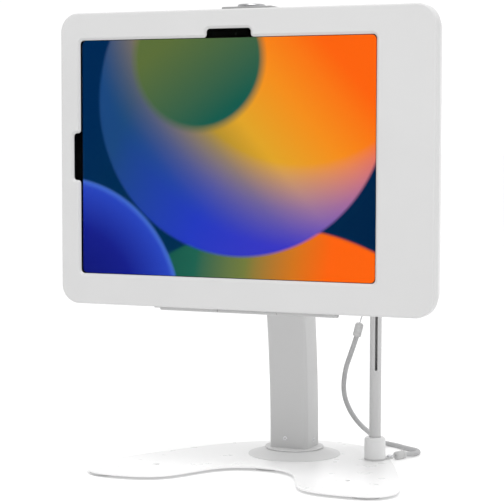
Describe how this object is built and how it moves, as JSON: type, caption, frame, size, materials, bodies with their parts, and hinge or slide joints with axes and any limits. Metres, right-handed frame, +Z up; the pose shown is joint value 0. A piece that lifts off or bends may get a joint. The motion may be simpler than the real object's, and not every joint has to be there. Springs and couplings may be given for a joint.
{
  "type": "locking tablet stand",
  "caption": "Countertop stand that holds a tablet in a lockable enclosure on a curved column and a two-lobed base plate, with tilt, turn and a tethered anchor post.",
  "frame": {"origin": "the underside of the base plate's middle foot, at table level", "axes": "+Z up, +Y towards the back of the stand, +X to the right as seen from the front"},
  "size_m": [0.332, 0.233, 0.3954],
  "materials": {
    "white_coat": "satin white powder coat",
    "gloss_white": "gloss white powder coat",
    "grey_coat": "satin pale grey powder coat",
    "white_rubber": "soft white rubber",
    "steel": "brushed",
    "zinc": "bright zinc plate",
    "black_screw": "black oxide",
    "nylon": "black nylon",
    "black_foam": "closed-cell foam",
    "aluminium_shell": "fine blasted",
    "mask": "black print behind glass",
    "screen": "lit display",
    "cover_glass": "polished",
    "chromed": "polished",
    "sheath": "grey vinyl over steel wire",
    "wire": "twisted steel wire"
  },
  "bodies": {
    "stand": {"base_plate": "gloss_white", "base_feet": "white_rubber", "column_boss": "white_coat", "column_spigot": "steel", "column_bolts": "black_screw", "column_tube": "grey_coat", "column_set_screws": "zinc", "column_head": "grey_coat", "tilt_washers": "nylon", "post_tube": "grey_coat", "post_cap": "grey_coat", "post_bolt": "black_screw", "post_collar": "grey_coat", "collar_set_screw": "black_screw", "anchor_tab": "grey_coat", "anchor_rivet": "zinc", "tether_stop": "zinc", "tether_wire_upper": "wire", "tether_ferrule_upper": "grey_coat", "tether_sheath": "sheath", "tether_ferrule_lower": "grey_coat", "tether_wire_lower": "wire"},
    "tilter": {"tilt_bracket": "grey_coat", "tilt_axle": "zinc", "axle_nut": "zinc", "thrust_washer": "nylon"},
    "rear_case": {"rotor_plate": "steel", "rotor_screws": "black_screw", "backing_plate": "steel", "spring_washer": "steel", "rotor_nut": "zinc", "rear_shell": "white_coat", "tray_standoffs": "zinc", "tablet_tray": "steel", "tray_screws": "black_screw", "foam_pads": "black_foam", "corner_blocks": "black_foam", "tablet_body": "aluminium_shell", "tablet_bezel": "mask", "tablet_display": "screen", "tablet_glass": "cover_glass", "cable_grommet": "nylon", "case_hinge_leaf": "grey_coat", "case_leaf_rivets": "zinc", "hinge_pin": "steel", "lock_housing": "grey_coat", "lock_barrel": "chromed", "lock_nut": "zinc"},
    "front_door": {"front_frame": "white_coat", "window_gasket": "black_foam", "frame_hinge_leaves": "grey_coat", "lock_catch": "steel"},
    "key_plug": {"lock_plug": "chromed", "lock_cam": "steel", "cam_screw": "zinc"}
  },
  "joints": [
    {"name": "head_tilt", "type": "hinge", "parent": "stand", "child": "tilter", "pos_m": [0.0035, 0.006, 0.267], "axis": [-1, 0, 0], "range_deg": [-15, 30]},
    {"name": "head_turn", "type": "hinge", "parent": "tilter", "child": "rear_case", "pos_m": [0.0035, -0.026, 0.267], "axis": [0, 1, 0], "range_deg": [0, 90]},
    {"name": "front_door_open", "type": "hinge", "parent": "rear_case", "child": "front_door", "pos_m": [0, -0.048, 0.1415], "axis": [1, 0, 0], "range_deg": [0, 100]},
    {"name": "key_turn", "type": "hinge", "parent": "rear_case", "child": "key_plug", "pos_m": [0, -0.041, 0.39], "axis": [0, 0, -1], "range_deg": [0, 90]}
  ]
}
